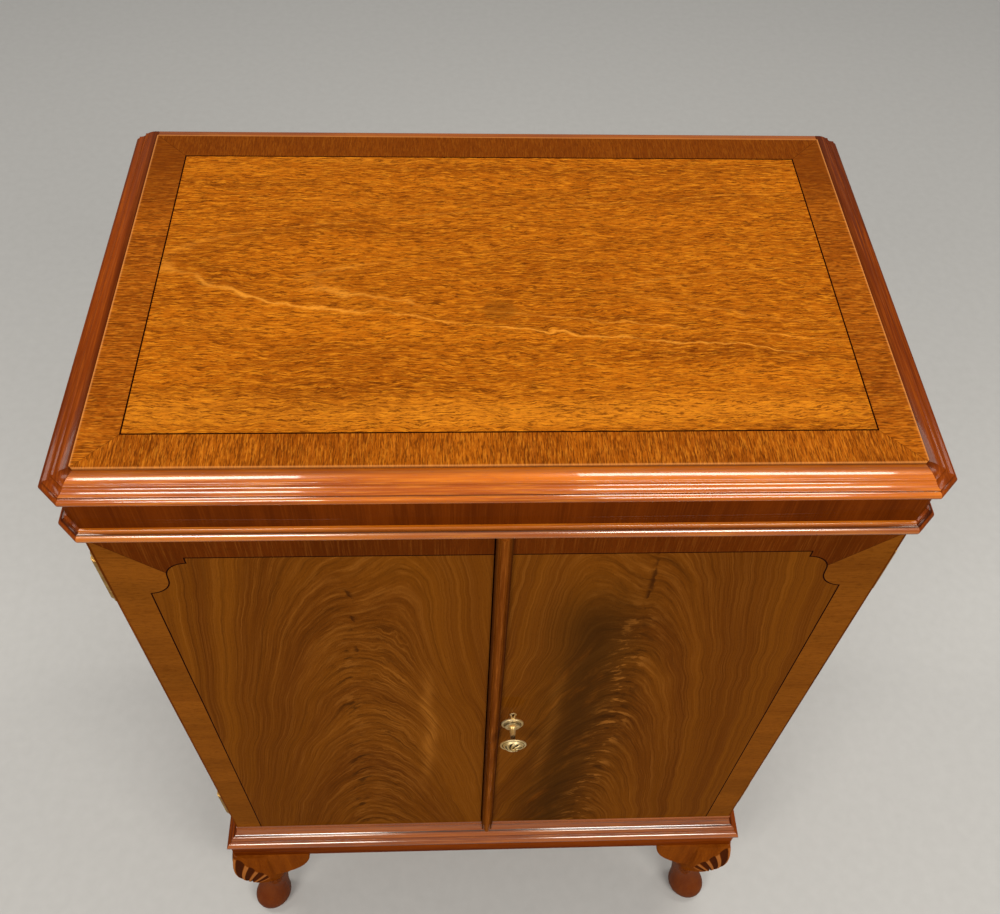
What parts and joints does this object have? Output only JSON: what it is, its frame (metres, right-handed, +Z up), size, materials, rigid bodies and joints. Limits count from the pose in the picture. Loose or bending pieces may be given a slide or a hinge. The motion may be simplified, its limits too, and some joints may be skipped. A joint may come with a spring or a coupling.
{
  "type": "cocktail cabinet",
  "caption": "Upright cocktail cabinet: hinged lift-up lid over a bar well, veneered doors with a meeting bead over a shelved cupboard, on short cabriole legs with carved knees.",
  "frame": {"origin": "on the floor, under the middle of the box round the whole cabinet", "axes": "+Z up, -Y towards the front with the doors, +X to the right of someone facing the doors"},
  "size_m": [0.6462, 0.417, 1.02],
  "materials": {
    "mahogany_solid": "solid mahogany, French polished to a gloss",
    "mahogany_field": "pale straight grained mahogany veneer, French polished to a gloss",
    "mahogany_crossband": "cross grained mahogany veneer, French polished to a gloss",
    "mahogany_flame": "book-matched flame mahogany veneer, French polished to a gloss",
    "dark_stringing": "dark inlaid line, polished with the veneer",
    "carcass_wood": "stained and polished mahogany",
    "brass": "aged polished brass",
    "mirror_glass": "silvered plate glass"
  },
  "bodies": {
    "cabinet": {"left_side": "carcass_wood", "right_side": "carcass_wood", "case_bottom": "carcass_wood", "bar_deck": "carcass_wood", "well_front": "carcass_wood", "back_panel": "carcass_wood", "top_back_rail": "carcass_wood", "shelf": "carcass_wood", "frieze_front": "mahogany_crossband", "frieze_left": "mahogany_crossband", "frieze_right": "mahogany_crossband", "frieze_corners": "mahogany_crossband", "waist_front": "mahogany_solid", "waist_left": "mahogany_solid", "waist_right": "mahogany_solid", "waist_corners": "mahogany_solid", "base_moulding_front": "mahogany_solid", "base_moulding_left": "mahogany_solid", "base_moulding_right": "mahogany_solid", "apron_front": "mahogany_solid", "apron_left": "mahogany_solid", "apron_right": "mahogany_solid", "apron_back": "carcass_wood", "leg_front_left": "mahogany_solid", "leg_front_right": "mahogany_solid", "leg_back_left": "mahogany_solid", "leg_back_right": "mahogany_solid", "case_hinge_leaves": "brass", "hinge_pins": "brass", "lid_hinge_lower_leaves": "brass"},
    "lid": {"lid_board": "carcass_wood", "lid_field": "mahogany_field", "lid_crossband": "mahogany_crossband", "lid_stringing": "dark_stringing", "lid_moulding_front": "mahogany_solid", "lid_moulding_left": "mahogany_solid", "lid_moulding_right": "mahogany_solid", "lid_moulding_corners": "mahogany_solid", "lid_back_lipping": "mahogany_solid", "lid_mirror": "mirror_glass", "lid_hinge_upper_leaves": "brass", "mirror_beading": "mahogany_solid"},
    "left_door": {"left_door_board": "carcass_wood", "left_door_flame": "mahogany_flame", "left_door_crossband": "mahogany_crossband", "left_door_stringing": "dark_stringing", "left_door_hinge_leaves": "brass", "bolt_plate": "brass"},
    "right_door": {"right_door_board": "carcass_wood", "right_door_flame": "mahogany_flame", "right_door_crossband": "mahogany_crossband", "right_door_stringing": "dark_stringing", "right_door_hinge_leaves": "brass", "meeting_bead": "mahogany_solid", "knob_rose": "brass", "knob": "brass", "keyhole_plate": "brass", "lock_case": "brass"},
    "lock_bolt": {"lock_bolt": "brass"},
    "door_bolt": {"door_bolt": "brass"}
  },
  "joints": [
    {"name": "left_door_hinge", "type": "hinge", "parent": "cabinet", "child": "left_door", "pos_m": [-0.3055, -0.16474, 0.629], "axis": [0, 0, -1], "range_deg": [0, 170]},
    {"name": "right_door_hinge", "type": "hinge", "parent": "cabinet", "child": "right_door", "pos_m": [0.3055, -0.16474, 0.629], "axis": [0, 0, 1], "range_deg": [0, 170]},
    {"name": "lid_hinge", "type": "hinge", "parent": "cabinet", "child": "lid", "pos_m": [0, 0.20101, 1.00385], "axis": [-1, 0, 0], "range_deg": [0, 95]},
    {"name": "lock_bolt_slide", "type": "slide", "parent": "right_door", "child": "lock_bolt", "axis": [-1, 0, 0], "range_m": [0, 0.008]},
    {"name": "door_bolt_slide", "type": "slide", "parent": "left_door", "child": "door_bolt", "axis": [0, 0, -1], "range_m": [0, 0.009]}
  ]
}
